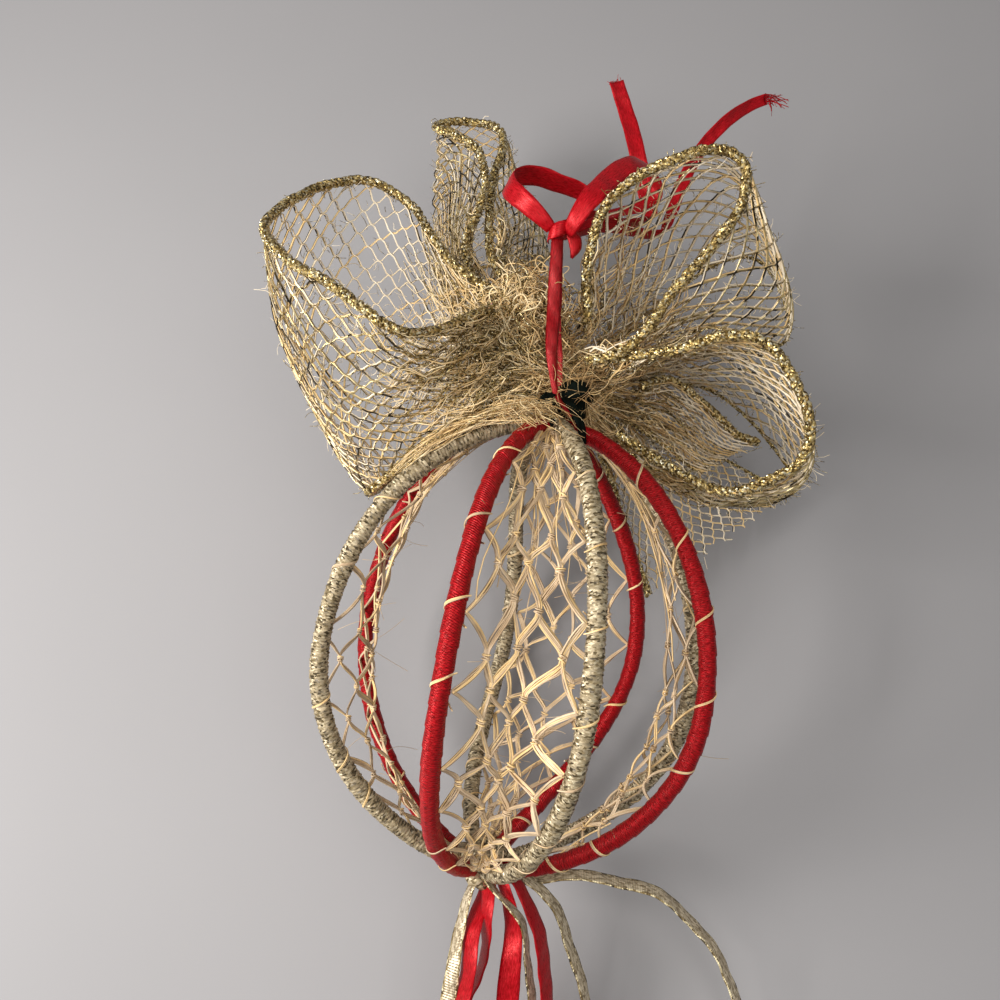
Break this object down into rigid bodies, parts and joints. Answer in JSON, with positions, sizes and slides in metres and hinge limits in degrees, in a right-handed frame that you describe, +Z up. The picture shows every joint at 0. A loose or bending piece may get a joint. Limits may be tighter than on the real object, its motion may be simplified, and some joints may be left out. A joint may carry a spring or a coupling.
{
  "type": "hanging globe ornament",
  "caption": "Hanging globe ornament of red and gold wrapped wire ribs with a knotted fibre net, a mesh ribbon bow, a satin hanging ribbon and a ribbon tassel.",
  "frame": {"origin": "inside the top of the hanging ribbon's loop, just under its knot, where a hook holds it", "axes": "+Z up along the hanging ribbon, -Y to the ornament's front"},
  "size_m": [0.1576, 0.1353, 0.3158],
  "materials": {
    "red_satin": "satin",
    "gold_braid": "metallic braid",
    "fibre_net": "natural fibre",
    "gold_mesh": "open weave with glitter cord",
    "dark_tape": "matt tape"
  },
  "bodies": {
    "root": {"gold_rib_front": "gold_braid", "red_rib_right": "red_satin", "gold_rib_right": "gold_braid", "red_rib_back_right": "red_satin", "gold_rib_back": "gold_braid", "red_rib_back_left": "red_satin", "gold_rib_left": "gold_braid", "red_rib_front_left": "red_satin", "net_panel_1": "fibre_net", "net_panel_2": "fibre_net", "net_panel_3": "fibre_net", "net_panel_4": "fibre_net", "crown_binding": "dark_tape", "foot_knot": "gold_braid", "bow_loop_left": "gold_mesh", "bow_loop_back": "gold_mesh", "bow_loop_right_upper": "gold_mesh", "bow_loop_right_lower": "gold_mesh", "bow_tail_low": "gold_mesh", "bow_tail_inner": "gold_mesh", "bow_tuft": "fibre_net", "hanger_knot": "red_satin", "hanger_strand_front": "red_satin", "hanger_strand_rear": "red_satin", "hanger_loop_left": "red_satin", "hanger_loop_right": "red_satin", "hanger_tail_left": "red_satin", "hanger_tail_right": "red_satin", "tassel_gold_left": "gold_braid", "tassel_red_left_front": "red_satin", "tassel_red_left_rear": "red_satin", "tassel_red_middle": "red_satin", "tassel_gold_middle": "gold_braid", "tassel_red_right": "red_satin", "tassel_gold_right": "gold_braid", "tassel_gold_far": "gold_braid"}
  },
  "joints": []
}
